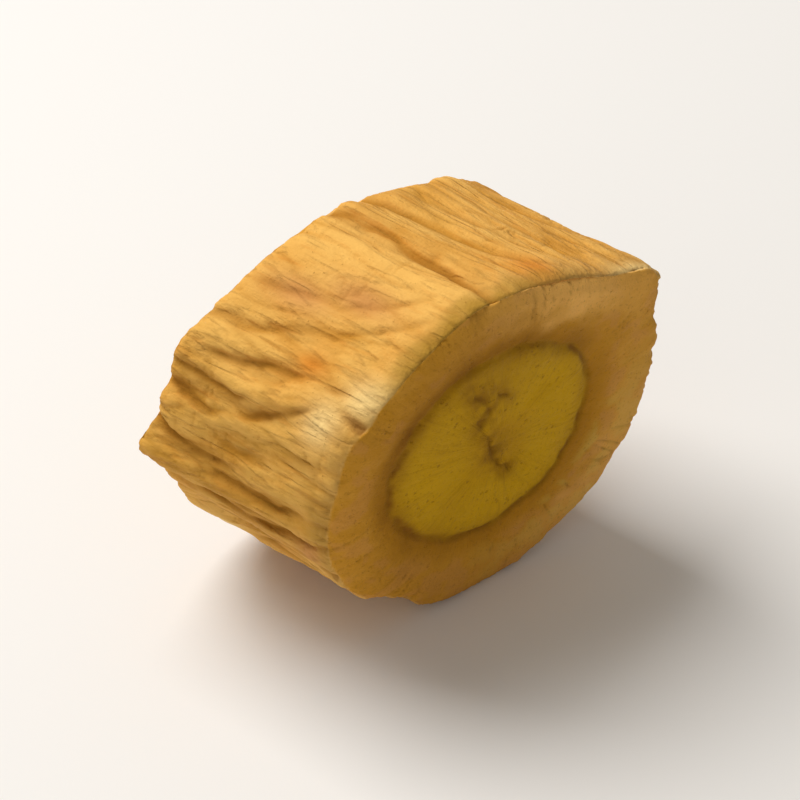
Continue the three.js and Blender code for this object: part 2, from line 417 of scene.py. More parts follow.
def turn_furrows(piece):
    """Turns the bark a little round the root, in places, and leaves the cuts in their planes."""
    angle, along, radius = root_places(read_points(piece.data))
    turned = angle + furrow_turn(angle, along) * smoothstep(radius, *TURNED_FROM)
    lean = np.cos(np.radians(turned - SLANT_SIDE)) * math.tan(math.radians(CUT_SLANT))
    x = MIDDLE[0] + (along - 0.5) * LENGTH + radius * lean
    y = MIDDLE[1] + radius * np.cos(np.radians(turned))
    z = MIDDLE[2] + radius * np.sin(np.radians(turned))
    piece.data.vertices.foreach_set("co", np.column_stack([x, y, z]).ravel())
    piece.data.update()


def cut_direction():
    """The direction that the front cut face looks in."""
    lean = math.tan(math.radians(CUT_SLANT))
    side = math.radians(SLANT_SIDE)
    direction = np.array([1.0, -lean * math.cos(side), -lean * math.sin(side)])
    return direction / np.linalg.norm(direction)


class BarkMap:
    """The solid's radius round and along the root, read by rays from its middle line."""

    ANGLES = 480
    STEPS = 48
    ENDS = (0.07, 0.93)
    BROAD = 8.0  # degrees over which the folds are evened out
    OUTLINE = 26.0  # degrees over which the swellings are evened out too
    CLOSE = 3.6  # degrees over which only the sharp bottoms of the furrows are evened out

    def __init__(self, solid):
        tree = BVHTree.FromPolygons([v.co for v in solid.vertices], [p.vertices for p in solid.polygons])
        self.angles = np.arange(self.ANGLES) * 360 / self.ANGLES
        self.alongs = np.linspace(*self.ENDS, self.STEPS)
        self.radius = np.array([self.rays(tree, along) for along in self.alongs])
        self.broad = self.blurred(self.BROAD)
        self.outline = self.blurred(self.OUTLINE)
        self.close = self.blurred(self.CLOSE)

    def rays(self, tree, along):
        return [self.ray(tree, angle, along) for angle in self.angles]

    @staticmethod
    def ray(tree, angle, along):
        turned = math.radians(angle)
        lean = math.cos(math.radians(angle - SLANT_SIDE)) * math.tan(math.radians(CUT_SLANT))
        x = MIDDLE[0] + (along - 0.5) * LENGTH + MEAN_RADIUS * lean
        direction = Vector((0, math.cos(turned), math.sin(turned)))
        start = Vector((x, MIDDLE[1], MIDDLE[2]))
        # The middle line can lie outside a leaning cut, so the ray comes in from outside
        hit = tree.ray_cast(start + 2 * MEAN_RADIUS * direction, -direction)
        return (hit[0] - start).length if hit[0] else MEAN_RADIUS

    def blurred(self, spread):
        """The radius with its folds evened out round the root."""
        offset = np.minimum(self.angles, 360 - self.angles)
        kernel = bump(offset, spread)
        kernel /= kernel.sum()
        waves = np.fft.rfft(self.radius, axis=1) * np.fft.rfft(kernel)
        return np.fft.irfft(waves, n=self.ANGLES, axis=1)

    def read(self, values, angle, along):
        """Values between the map's rays, at each angle and along."""
        column = angle / 360 * self.ANGLES
        low, high = self.ENDS
        row = np.clip((along - low) / (high - low), 0, 1) * (self.STEPS - 1)
        c0, r0 = np.floor(column).astype(int), np.minimum(np.floor(row).astype(int), self.STEPS - 2)
        fc, fr = column - c0, row - r0
        c0, c1 = c0 % self.ANGLES, (c0 + 1) % self.ANGLES
        upper = values[r0, c0] * (1 - fc) + values[r0, c1] * fc
        lower = values[r0 + 1, c0] * (1 - fc) + values[r0 + 1, c1] * fc
        return upper * (1 - fr) + lower * fr

    def sunk(self, angle, along):
        """How far the solid's folds have sunk below the bark round them, in millimetres."""
        return self.read(self.broad - self.radius, angle, along)

    def groove(self, angle, along):
        """How far each furrow's bottom lies below its sides, in millimetres, shallow furrows too."""
        return self.read(self.close - self.radius, angle, along)


def read_points(mesh):
    points = np.empty(len(mesh.vertices) * 3)
    mesh.vertices.foreach_get("co", points)
    return points.reshape(-1, 3)


def read_normals(mesh):
    normals = np.empty(len(mesh.vertices) * 3)
    mesh.vertex_normals.foreach_get("vector", normals)
    return normals.reshape(-1, 3)


def write_attribute(mesh, name, values):
    mesh.attributes.new(name, "FLOAT", "POINT").data.foreach_set("value", values.astype(np.float32))


def apply_modifier(piece, kind, **values):
    """Adds a modifier with these values to the piece and applies it."""
    modifier = piece.modifiers.new(kind.title(), kind)
    for name, value in values.items():
        setattr(modifier, name, value)
    bpy.context.view_layer.objects.active = piece
    bpy.ops.object.modifier_apply(modifier=modifier.name)


def copy_of_solid(name):
    """A copy of the root's solid in millimetres, with its loose triangles merged."""
    piece = bpy.data.objects.new(name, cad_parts[NODE].data.copy())
    bpy.context.scene.collection.objects.link(piece)
    piece.data.transform(Matrix.Scale(1 / MILLIMETRE, 4))
    bpy.ops.object.select_all(action="DESELECT")
    piece.select_set(True)
    bpy.context.view_layer.objects.active = piece
    bpy.ops.object.mode_set(mode="EDIT")
    bpy.ops.mesh.select_all(action="SELECT")
    bpy.ops.mesh.remove_doubles(threshold=0.001)
    bpy.ops.object.mode_set(mode="OBJECT")
    return piece


def fine_surface(piece, step, rounds):
    """Even, small faces all over the piece, with the solid's flat triangles smoothed away."""
    apply_modifier(piece, "REMESH", mode="VOXEL", voxel_size=step, adaptivity=0)
    apply_modifier(piece, "SMOOTH", factor=0.5, iterations=rounds)


def fold_shape(values, width):
    """Round folds between sharp creases: 0 where the noise crosses nought, and 1 on the folds."""
    return np.clip(np.abs(values) / width, 0, 1) ** 0.65


def distance_to_line(places, corners):
    """Distance of each place from a line through these corners."""
    nearest = np.full(len(places), np.inf)
    for start, end in zip(corners, corners[1:]):
        step = end - start
        t = np.clip((places - start) @ step / (step @ step), 0, 1)
        nearest = np.minimum(nearest, np.linalg.norm(places - start - t[:, None] * step, axis=1))
    return nearest


def hidden_creases():
    """Creases of the far side and underneath, evenly stepped, each shifted and bent by a draw."""
    draw = np.random.default_rng(HIDDEN_CREASES["seed"])
    creases_there = []
    for first in np.arange(HIDDEN_CREASES["first"], HIDDEN_CREASES["last"], HIDDEN_CREASES["step"]):
        angle = first + draw.uniform(-1, 1) * HIDDEN_CREASES["shift"]
        start, end = draw.uniform(-0.05, 0.35), draw.uniform(0.6, 1.0)
        course = []
        for along in np.linspace(start, end, 5):
            course.append((angle, along))
            angle += draw.uniform(-1, 1) * HIDDEN_CREASES["bend"]
        creases_there.append((draw.uniform(0.4, 1.2), course))
    return creases_there


def runs_out(along, start, end):
    """1 along a crease, fading where it starts and ends, unless that is at a cut."""
    begun = smoothstep(along, start - 0.02, start + CREASE_FADE) if start > 0.03 else 1.0
    going = 1 - smoothstep(along, end - CREASE_FADE, end + 0.02) if end < 0.95 else 1.0
    return begun * going


def crease_lines(points, angle, along):
    """How deep in one of the listed creases each point is, as a share."""
    unroll = math.radians(1) * MEAN_RADIUS
    sway = noise_columns("crease_sway", points, 2)
    strength = 0.85 + 0.5 * named_noise("crease_strength", points)
    depth = np.zeros(len(points))
    for share, course in SHOWN_CREASES + hidden_creases():
        middle = course[0][0]
        share = share * runs_out(along, course[0][1], course[-1][1])
        places = np.column_stack([turn_to(middle, angle) * unroll, along * LENGTH]) + CREASE_SWAY * sway
        turned, place = np.array(course).T
        turned = turned + furrow_turn(turned, place)
        corners = np.column_stack([(turned - middle) * unroll, place * LENGTH])
        depth = np.maximum(depth, share * bump(distance_to_line(places, corners), CREASE_WIDTH))
    return depth * strength


def scar_relief(angle, along, grain):
    """Height, as a share, of the scars across the bark, and the slits in them."""
    height, slits = np.zeros(len(angle)), np.zeros(len(angle))
    for scar in SCARS:
        across = turn_to(scar["angle"], angle) / scar["wide"]
        lengthwise = (along - scar["along"]) * LENGTH / scar["long"] + 0.5 * grain
        height = np.maximum(height, np.exp(-(across**4) - lengthwise**2))
        slits = np.maximum(slits, np.exp(-((1.3 * across) ** 4) - (4 * lengthwise) ** 2))
    return height, slits


def shown_side(angle):
    """1 on the side whose creases are listed, 0 on the far side."""
    away = np.abs(turn_to(angle, SHOWN_SIDE["angle"]))
    return 1 - smoothstep(away, SHOWN_SIDE["reach"], SHOWN_SIDE["reach"] + SHOWN_SIDE["fade"])


def smooth_bark(angle):
    return bump(turn_to(angle, SMOOTH_BARK["angle"]), SMOOTH_BARK["wide"])


def narrowed(sunk):
    """What a furrow sunk this far has to rise by, in millimetres, to be narrow and a little shallower."""
    hollow = np.clip(sunk, 0, None)
    return hollow - FURROW_KEPT * FURROW_DEPTH * (hollow / FURROW_DEPTH) ** 1.7


def bark_relief(surface, settings):
    """Height of the bark's folds and wrinkles in millimetres, and how deep in a crease each point is, which
    colours the bark brown there: partly darker bark, partly painted shade.
    """
    points, angle, along = surface.points, surface.angle, surface.along
    bent = points + noise_columns("sway", points, 3) * (0, FOLD_SWAY, FOLD_SWAY)
    folds = named_noise("folds", bent)
    wrinkles = named_noise("wrinkles", bent)
    fold_share = 1 - 0.5 * shown_side(angle)
    wrinkle_share = 1 - 0.2 * shown_side(angle) - 0.5 * smooth_bark(angle)
    lines = crease_lines(points, angle, along)
    cracked = smoothstep(named_noise("cracked_places", points), 0.1, 0.45)
    cracks = lines_at_nought(named_noise("cross_cracks", points), 0.06) * cracked
    scars, slits = scar_relief(angle, along, named_noise("scar_grain", points))
    fold_depth, wrinkle_depth = settings.fold_depth / MILLIMETRE, settings.wrinkle_depth / MILLIMETRE
    height = settings.swell / MILLIMETRE * named_noise("swells", points)
    height += fold_depth * (fold_shape(folds, 0.45) - 0.8) * fold_share
    height += wrinkle_depth * (fold_shape(wrinkles, 0.4) - 0.8) * wrinkle_share
    height -= wrinkle_depth * (0.6 * cracks + 1.2 * slits)
    height += settings.scar_height / MILLIMETRE * scars
    height -= settings.crease_depth / MILLIMETRE * lines
    mask = 0.6 * lines_at_nought(folds, 0.09) * fold_share
    mask += 0.25 * lines_at_nought(wrinkles, 0.12) * wrinkle_share
    mask += 0.25 * cracks
    mask += 0.6 * slits
    # the crease mask colours the bark brown: partly darker bark, partly painted shade in the creases
    return height, np.clip(np.maximum(mask, np.clip(lines, 0, None) ** 0.8), 0, 1)


def bark_height(surface, relief, settings):
    """Height of the bark in millimetres: its relief, with the solid's furrows narrower and sharper."""
    sharp = GROOVE_LIMIT * np.tanh(surface.groove / GROOVE_LIMIT)
    return relief + narrowed(surface.sunk) - settings.furrow_sharpness * sharp


def to_cracks(across, cracks):
    """Distance of each point of a cut face from the nearest crack, in millimetres."""
    nearest = np.full(len(across), np.inf)
    for crack in cracks:
        turned = np.radians([angle for angle, _ in crack])
        reach = MEAN_RADIUS * np.array([share for _, share in crack])
        corners = np.column_stack([reach * np.cos(turned), reach * np.sin(turned)])
        nearest = np.minimum(nearest, distance_to_line(across, corners))
    return nearest


def ring_mask(points, angle, from_ring):
    """1 on the ring between wood and bark, which is wider on one side, less in the stain round it."""
    width = RING["width"] * (1 + RING["uneven"] * np.cos(np.radians(angle - RING["wide_side"])))
    patchy = named_noise("ring_patches", points)
    line = bump(from_ring + 0.1 * patchy, width) * (0.85 + 0.4 * patchy)
    line *= 1 - sides_mask(angle, [FAINT_RING])
    skirt = bump(from_ring - SKIRT["shift"], SKIRT["width"])
    skirt *= 1 + 0.7 * named_noise("skirt_patches", points)
    skirt *= 1 + SKIRT["more"] * np.cos(np.radians(angle - SKIRT["side"]))
    return np.clip(np.maximum(line, SKIRT["amount"] * skirt), 0, 1)


def sides_mask(angle, sides):
    """How strongly each listed side of the cut is coloured at these angles."""
    mask = np.zeros(len(angle))
    for side in sides:
        mask = np.maximum(mask, side["amount"] * bump(turn_to(angle, side["angle"]), side["wide"]))
    return mask


def browned_mask(points, angle, share):
    """1 where the cut is browner, between the pith and the rim on the listed sides."""
    patchy = 0.85 + 0.5 * named_noise("brown_patches", points)
    between = smoothstep(share, 0.1, 0.35) * (1 - smoothstep(share, 0.8, 0.98))
    return sides_mask(angle, BROWNED) * between * patchy


def pale_and_lit_rim_mask(points, angle, share):
    """1 where the rim of a cut is paler, in uneven patches: partly paler cut bark, partly a painted highlight
    where the rim catches light.
    """
    patchy = named_noise("rim_patches", points)
    return sides_mask(angle, PALE_AND_LIT_RIMS) * smoothstep(share + 0.1 * patchy, 0.66, 0.86)


def crack_masks(points, front):
    """1 in the cracks of the cut faces, and in the stain beside them."""
    shifted = points[:, 1:] - np.array(MIDDLE[1:]) + CRACK_SWAY * noise_columns("crack_sway", points, 2)
    distance = np.where(front, to_cracks(shifted, FRONT_CRACKS), to_cracks(shifted, BACK_CRACKS))
    patchy = named_noise("crack_places", points)
    cracks = bump(distance, 0.07 + 0.05 * patchy) * smoothstep(patchy, -0.5, 0.1)
    return cracks, bump(distance, CRACK_STAIN) * smoothstep(patchy, -0.7, 0.3)


def split_mask(points, outward, from_ring):
    """1 in the splits of the cut bark, which run outwards in places."""
    some = smoothstep(named_noise("split_places", points), -0.1, 0.3)
    reach = smoothstep(from_ring + 0.5 * named_noise("split_reach", points), 0.5, 1.5)
    return lines_at_nought(named_noise("splits", outward), 0.045) * some * reach


def face_relief(surface, settings):
    """Height of the cut faces in millimetres, and masks of the splits and of the stain round the cracks."""
    points, from_ring, turned = surface.points, surface.from_ring, np.radians(surface.angle)
    outward = np.column_stack([9 * np.cos(turned), 9 * np.sin(turned), 0.2 * from_ring])
    splits = split_mask(points, outward, from_ring)
    cracks, stain = crack_masks(points, surface.front)
    ring = bump(from_ring, 0.12) * (0.7 + 0.3 * named_noise("ring_depth", points))
    across = points[:, 1:] - np.array(MIDDLE[1:])
    blade = np.sin(across @ np.array(BLADE_MARKS) + 2.5 * named_noise("blade_sway", points))
    in_wood = smoothstep(from_ring, -0.2, -0.5)
    height = -settings.ring_depth / MILLIMETRE * ring
    height -= settings.fissure_depth / MILLIMETRE * splits
    height += settings.ray_depth / MILLIMETRE * named_noise("rays", outward) * in_wood
    height -= settings.crack_depth / MILLIMETRE * cracks
    height += settings.grit / MILLIMETRE * (named_noise("grit", points) + 0.35 * blade)
    return height, np.clip(0.35 * splits + 0.5 * cracks, 0, 1), stain


def places_mask(angle, along, places):
    """1 in the middle of each listed place, fading outwards."""
    mask = np.zeros(len(angle))
    for place in places:
        mask = np.maximum(mask, near_place(angle, along, place))
    return mask


def ring_share(angle):
    """Where the wood ends at each angle, as a share of the radius."""
    share = WOOD_SHARE + WOOD_SHIFT * np.cos(np.radians(angle - WOOD_SIDE))
    return share + WOOD_OVAL * np.cos(np.radians(2 * (angle - OVAL_SIDE)))


class Surface:
    """Where each point of the fine surface lies on the root, before it is moved."""

    def __init__(self, mesh, bark_map):
        self.points, self.normals = read_points(mesh), read_normals(mesh)
        self.angle, self.along, self.radius = root_places(self.points)
        self.front = self.along > 0.5
        self.from_cut = 1 - np.abs(2 * self.along - 1)
        end = np.where(self.front, bark_map.ENDS[1], bark_map.ENDS[0])
        self.share = self.radius / bark_map.read(bark_map.radius, self.angle, end)
        ring_radius = ring_share(self.angle) * bark_map.read(bark_map.outline, self.angle, end)
        wobble = 0.12 * named_noise("ring_wobble", self.points)
        wobble += 0.04 * named_noise("fine_ring_wobble", self.points)
        self.from_ring = self.radius - ring_radius + wobble
        self.ragged = named_noise("ragged", self.points)
        facing = np.abs(self.normals @ cut_direction())
        self.on_face = smoothstep(facing + 0.12 * self.ragged, 0.5, 0.8)
        self.sunk = bark_map.sunk(self.angle, self.along)
        self.groove = bark_map.groove(self.angle, self.along)

    def near_edge(self, edge):
        """1 at the edges of the cuts, falling to 0 within the listed reach."""
        return bump(self.from_cut, edge["reach"]) * smoothstep(self.share, edge["from"], 1.0)


def edge_height(surface, settings):
    """How far the cuts' edges are frayed or worn down, in millimetres."""
    frayed = surface.near_edge(FRAYED) * named_noise("fray", surface.points)
    worn = surface.near_edge(WORN) * sides_mask(surface.angle, WORN_RIMS)
    return settings.fray / MILLIMETRE * frayed - settings.rim_wear / MILLIMETRE * worn


def bark_marks(surface, relief, crease):
    """What the bark's colours follow, painted highlights and painted shade among them."""
    angle, along, ragged = surface.angle, surface.along, surface.ragged
    grooved = np.clip(surface.groove / GROOVE_DARKEST_DEPTH, 0, 1) ** 1.6
    marks = {
        # partly browner bark, partly painted shade: the deeper a furrow's bottom, the browner it is coloured
        "furrow": np.maximum(0.2 * smoothstep(surface.sunk, 0.1, 0.5), 0.7 * grooved),
        "crease": crease,
        # painted highlight: the crests of the folds are marked to be coloured paler
        "crest_highlight": smoothstep(relief, -0.06, 0.05) * (1 - crease),
        # painted shade: the low places of the relief are marked to be coloured amber
        "hollow": smoothstep(-relief, 0.02, 0.16),
        "smooth": smooth_bark(angle),
        "dust": smoothstep(along + 0.06 * ragged + 0.1 * sides_mask(angle, [DUSTY]), 0.86, 0.98),
        "rim": smoothstep(along + 0.04 * ragged, 0.83, 0.95) * sides_mask(angle, OLIVE_RIMS),
        # painted shade on the less lit side
        "olive_and_shade": sides_mask(angle, SHADED_SIDE) * (0.8 + 0.5 * ragged),
        # rubbed places, partly a painted highlight at the front rim's edge
        "scuff_and_highlight": places_mask(angle, along, SCUFFS_AND_HIGHLIGHTS),
    }
    for kind in ("pink", "rust"):
        marks[kind] = places_mask(angle, along, [stain for stain in STAINS if stain["kind"] == kind])
    return marks


def face_marks(surface, crack, crack_stain):
    """What the colours of the cuts and of their edges follow, painted highlights on the rims among them."""
    points, angle, share, on_face = surface.points, surface.angle, surface.share, surface.on_face
    pale_and_lit_rim = pale_and_lit_rim_mask(points, angle, share)
    mottled = named_noise("mottled", points)
    outer = smoothstep(surface.from_ring, 0.5, 1.2) * on_face
    # partly pale skin, partly a painted highlight along the edges of the cuts
    edge = 4 * on_face * (1 - on_face) * smoothstep(surface.ragged, -0.3, 0.2)
    return {
        "on_face": on_face,
        "share": share,
        "from_ring": surface.from_ring,
        "ring": ring_mask(points, angle, surface.from_ring),
        "crack": crack,
        "crack_stain": crack_stain,
        "browned": browned_mask(points, angle, share),
        "pale_and_lit_rim": pale_and_lit_rim,
        "rosy": outer * smoothstep(mottled, 0.02, 0.3),
        "green": outer * smoothstep(-mottled, 0.02, 0.3) * sides_mask(angle, GREENER),
        "edge": edge * (0.3 + pale_and_lit_rim),
    }


def shape_root(piece, bark, face):
    """Gives the fine surface its folds, cracks and rings, and marks what each point is made of and where
    highlights and shade are painted.
    """
    turn_furrows(piece)
    bark_map = BarkMap(piece.data)
    fine_surface(piece, MESH_STEP, MESH_SMOOTHINGS)
    mesh = piece.data
    surface = Surface(mesh, bark_map)
    relief, crease = bark_relief(surface, bark)
    face_height, crack, crack_stain = face_relief(surface, face)
    height = bark_height(surface, relief, bark) * (1 - surface.on_face) + face_height * surface.on_face
    height += edge_height(surface, bark)
    moved = surface.points + surface.normals * height[:, None]
    moved[:, 2] = np.maximum(moved[:, 2], 0)  # nothing reaches below the floor
    mesh.vertices.foreach_set("co", (moved * MILLIMETRE).ravel())
    mesh.update()
    marks = bark_marks(surface, relief, crease) | face_marks(surface, crack, crack_stain)
    for name, values in marks.items():
        write_attribute(mesh, name, values)


class NodeTree:
    """Short words for building one node tree."""

    def __init__(self, tree):
        self.tree = tree

    def add(self, kind, **values):
        """A new node, with its own settings, and its input sockets set or linked by name."""
        inputs = values.pop("inputs", {})
        node = self.tree.nodes.new(kind)
        for name, value in values.items():
            setattr(node, name, value)
        for name, value in inputs.items():
            self.feed(node.inputs[name], value)
        return node

    def feed(self, socket, value):
        if isinstance(value, bpy.types.NodeSocket):
            self.tree.links.new(value, socket)
        elif hasattr(value, "__len__") and len(value) == 3 and socket.type == "RGBA":
            socket.default_value = (*value, 1)
        else:
            socket.default_value = value

    def math(self, operation, a, b=0.0, clamp=False):
        node = self.add("ShaderNodeMath", operation=operation, use_clamp=clamp, inputs={0: a, 1: b})
        return node.outputs[0]

    def vector(self, operation, a, b=(0, 0, 0)):
        return self.add("ShaderNodeVectorMath", operation=operation, inputs={0: a, 1: b}).outputs[0]

    def mix(self, amount, a, b, blend="MIX"):
        node = self.add("ShaderNodeMix", data_type="RGBA", blend_type=blend)
        for name, value in ((0, amount), (6, a), (7, b)):
            self.feed(node.inputs[name], value)
        return node.outputs[2]

    def ramp(self, value, low, high, start=0.0, end=1.0):
        """Value from low to high, smoothly mapped to start to end."""
        node = self.add(
            "ShaderNodeMapRange",
            interpolation_type="SMOOTHSTEP",
            inputs={0: value, 1: low, 2: high, 3: start, 4: end},
        )
        return node.outputs[0]

    def attribute(self, name):
        return self.add("ShaderNodeAttribute", attribute_name=name).outputs["Fac"]

    def noise(self, coordinates, scale, detail=3.0, roughness=0.55):
        node = self.add(
            "ShaderNodeTexNoise",
            inputs={"Vector": coordinates, "Scale": scale, "Detail": detail, "Roughness": roughness},
        )
        return node.outputs["Fac"]


def node_group(name, inputs, outputs):
    """An empty shader node group with these sockets: name, type and default."""
    group = bpy.data.node_groups.new(name, "ShaderNodeTree")
    for socket, kind, default in inputs:
        made = group.interface.new_socket(socket, in_out="INPUT", socket_type=kind)
        if default is not None:
            made.default_value = default
    for socket, kind in outputs:
        group.interface.new_socket(socket, in_out="OUTPUT", socket_type=kind)
    tree = NodeTree(group)
    return tree, tree.add("NodeGroupInput").outputs, tree.add("NodeGroupOutput")


def grain_group():
    """Fibres along the root, specks and clouds, as masks."""
    tree, given, result = node_group(
        "Root Grain",
        [("Coordinates", "NodeSocketVector", None), ("Stretch", "NodeSocketVector", (0.2, 1.0, 1.0))],
        [(name, "NodeSocketFloat") for name in ("Fibres", "Lines", "Specks", "Clouds")],
    )
    stretched = tree.vector("MULTIPLY", given[0], given[1])
    fibres = tree.noise(stretched, PATTERNS["fibres"], 6.0, 0.68)
    specks = tree.noise(given[0], PATTERNS["specks"], 2.0, 0.5)
    clouds = tree.noise(given[0], PATTERNS["clouds"], 4.0, 0.6)
    waves = tree.noise(stretched, PATTERNS["lines"], 1.0, 0.4)
    lines = tree.ramp(tree.math("ABSOLUTE", tree.math("SUBTRACT", waves, 0.5)), 0.07, 0.0)
    tree.feed(result.inputs["Lines"], tree.math("MULTIPLY", lines, tree.ramp(fibres, 0.42, 0.6)))
    tree.feed(result.inputs["Fibres"], fibres)
    tree.feed(result.inputs["Specks"], specks)
    tree.feed(result.inputs["Clouds"], clouds)
    return tree.tree


def ray_group():
    """Rays from the pith outwards and pores of the wood, as masks."""
    tree, given, result = node_group(
        "Root Rays",
        [("Coordinates", "NodeSocketVector", None), ("Share", "NodeSocketFloat", 0.0)],
        [("Rays", "NodeSocketFloat"), ("Pores", "NodeSocketFloat")],
    )
    middle = [value * MILLIMETRE for value in MIDDLE]
    offset = tree.vector("SUBTRACT", given[0], middle)
    outward = tree.vector("NORMALIZE", tree.vector("MULTIPLY", offset, (0, 1, 1)))
    length = tree.add("ShaderNodeCombineXYZ", inputs={0: tree.math("MULTIPLY", given[1], 0.22)})
    place = tree.vector("ADD", outward, length.outputs[0])
    rays = tree.noise(place, PATTERNS["rays"], 5.0, 0.72)
    pores = tree.add("ShaderNodeTexVoronoi", inputs={"Vector": given[0], "Scale": PATTERNS["pores"]})
    open_pore = tree.ramp(pores.outputs["Distance"], 0.26, 0.1)
    chosen = tree.add("ShaderNodeSeparateColor", inputs={0: pores.outputs["Color"]}).outputs[0]
    tree.feed(result.inputs["Rays"], rays)
    tree.feed(result.inputs["Pores"], tree.math("MULTIPLY", open_pore, tree.ramp(chosen, 0.45, 0.75)))
    return tree.tree


def place_group(tree, group, **inputs):
    node = tree.add("ShaderNodeGroup", node_tree=group)
    for name, value in inputs.items():
        tree.feed(node.inputs[name], value)
    return node.outputs


def tinted(tree, colour, tint, mask, amount):
    """The colour with some of the tint where the mask is."""
    return tree.mix(tree.math("MULTIPLY", mask, amount, clamp=True), colour, tint)


def bark_colour(tree, grain, settings):
    """Colour of the bark, from its furrows, crests, stains and grain, with painted highlights on the crests
    and painted shade in the hollows, on the less lit side and partly in the furrows and creases.
    """
    furrow, crest_highlight, crease = (tree.attribute(name) for name in ("furrow", "crest_highlight", "crease"))
    lines = tree.math("MULTIPLY", grain["Lines"], tree.ramp(tree.attribute("smooth"), 0.2, 0.9, 1.0, 0.35))
    colour = tinted(tree, settings.tan, settings.pale_and_highlight, tree.ramp(grain["Clouds"], 0.35, 0.7), 0.6)
    colour = tinted(tree, colour, settings.rust, tree.ramp(grain["Fibres"], 0.5, 0.72), 0.4)
    # painted highlight on the crests of the folds
    colour = tinted(tree, colour, settings.pale_and_highlight, crest_highlight, 0.5)
    # painted shade in the hollows
    colour = tinted(tree, colour, settings.amber_shade, tree.attribute("hollow"), 0.6)
    # painted shade on the less lit side
    colour = tinted(tree, colour, settings.olive_and_shade, tree.attribute("olive_and_shade"), 0.42)
    colour = tinted(tree, colour, settings.pink, tree.attribute("pink"), 0.75)
    colour = tinted(tree, colour, settings.grey, tree.attribute("dust"), 0.55)
    colour = tinted(tree, colour, settings.rust, tree.attribute("rust"), 0.85)
    colour = tinted(tree, colour, settings.olive_and_shade, tree.attribute("rim"), 0.9)
    # rubbed places, partly a painted highlight at the front rim's edge
    colour = tinted(tree, colour, settings.cream_and_highlight, tree.attribute("scuff_and_highlight"), 0.95)
    # partly darker bark, partly painted shade in the creases
    colour = tinted(tree, colour, settings.brown_and_shade, crease, 0.6)
    colour = tinted(tree, colour, settings.brown_and_shade, lines, 0.25)
    # partly browner bark, partly painted shade in the furrows
    colour = tinted(tree, colour, settings.brown_and_shade, furrow, 0.54)
    return tinted(tree, colour, settings.brown_and_shade, tree.ramp(grain["Specks"], 0.66, 0.8), 0.5)


def face_colour(tree, grain, rays, settings):
    """Colour of a cut face: pith, wood, ring, inner bark and the edge of the outer bark."""
    from_ring, share = tree.attribute("from_ring"), tree.attribute("share")
    wood = tree.mix(tree.ramp(share, 0.28, 0.05), settings.wood, settings.pith)
    wood = tinted(tree, wood, settings.ring, tree.ramp(rays["Rays"], 0.5, 0.7), 0.22)
    wood = tinted(tree, wood, settings.ring, tree.ramp(grain["Clouds"], 0.5, 0.75), 0.2)
    wood = tinted(tree, wood, settings.ring, rays["Pores"], 0.3)
    flesh = tree.mix(tree.ramp(from_ring, 0.2, 1.3), settings.flesh, settings.skin)
    flesh = tinted(tree, flesh, settings.flesh, tree.ramp(rays["Rays"], 0.45, 0.7), 0.5)
    flesh = tinted(tree, flesh, settings.cream_and_highlight, tree.ramp(grain["Clouds"], 0.5, 0.72), 0.2)
    flesh = tinted(tree, flesh, settings.rosy, tree.attribute("rosy"), 0.45)
    flesh = tinted(tree, flesh, settings.green, tree.attribute("green"), 0.7)
    # partly paler cut bark, partly a painted highlight where the rim catches light
    flesh = tinted(tree, flesh, settings.cream_and_highlight, tree.attribute("pale_and_lit_rim"), 1.0)
    colour = tree.mix(tree.ramp(from_ring, -0.05, 0.2), wood, flesh)
    colour = tinted(tree, colour, settings.ring, tree.attribute("browned"), 0.46)
    colour = tinted(tree, colour, settings.ring, tree.attribute("ring"), 0.95)
    colour = tinted(tree, colour, settings.ring, tree.ramp(grain["Specks"], 0.55, 0.75), 0.3)
    colour = tinted(tree, colour, settings.ring, tree.attribute("crack_stain"), 0.55)
    return tree.mix(tree.attribute("crack"), colour, settings.crack)


def root_material(bark, face):
    """Dry, matt root: bark outside, wood and inner bark on the cuts."""
    material = bpy.data.materials.new("Dried Root")
    material.use_nodes = True
    tree = NodeTree(material.node_tree)
    tree.tree.nodes.clear()
    place = tree.add("ShaderNodeTexCoord").outputs["Object"]
    group = grain_group()
    bark_grain = place_group(tree, group, Coordinates=place, Stretch=BARK_STRETCH)
    face_grain = place_group(tree, group, Coordinates=place, Stretch=FACE_STRETCH)
    rays = place_group(tree, ray_group(), Coordinates=place, Share=tree.attribute("share"))
    on_face = tree.attribute("on_face")
    colour = tree.mix(on_face, bark_colour(tree, bark_grain, bark), face_colour(tree, face_grain, rays, face))
    # partly pale skin, partly a painted highlight along the edges of the cuts
    colour = tinted(tree, colour, bark.cream_and_highlight, tree.attribute("edge"), 0.6)
    bark_height = tree.math("ADD", bark_grain["Fibres"], tree.math("MULTIPLY", bark_grain["Specks"], 0.4))
    bark_height = tree.math("SUBTRACT", bark_height, tree.math("MULTIPLY", bark_grain["Lines"], 0.5))
    face_height = tree.math("ADD", face_grain["Fibres"], tree.math("MULTIPLY", rays["Rays"], 0.8))
    face_height = tree.math("SUBTRACT", face_height, tree.math("MULTIPLY", rays["Pores"], 0.5))
    either = tree.add("ShaderNodeMix", data_type="FLOAT", inputs={0: on_face, 2: bark_height, 3: face_height})
    relief = tree.add(
        "ShaderNodeBump",
        inputs={"Strength": 0.8, "Distance": 0.1 * MILLIMETRE, "Height": either.outputs[0]},
    )
    roughness = tree.ramp(bark_grain["Clouds"], 0.3, 0.7, 0.68, 0.85)
    surface = tree.add(
        "ShaderNodeBsdfPrincipled",
        inputs={"Base Color": colour, "Roughness": roughness, "Normal": relief.outputs[0]},
    )
    surface.inputs["Specular IOR Level"].default_value = 0.15
    tree.add("ShaderNodeOutputMaterial", inputs={"Surface": surface.outputs[0]})
    return material


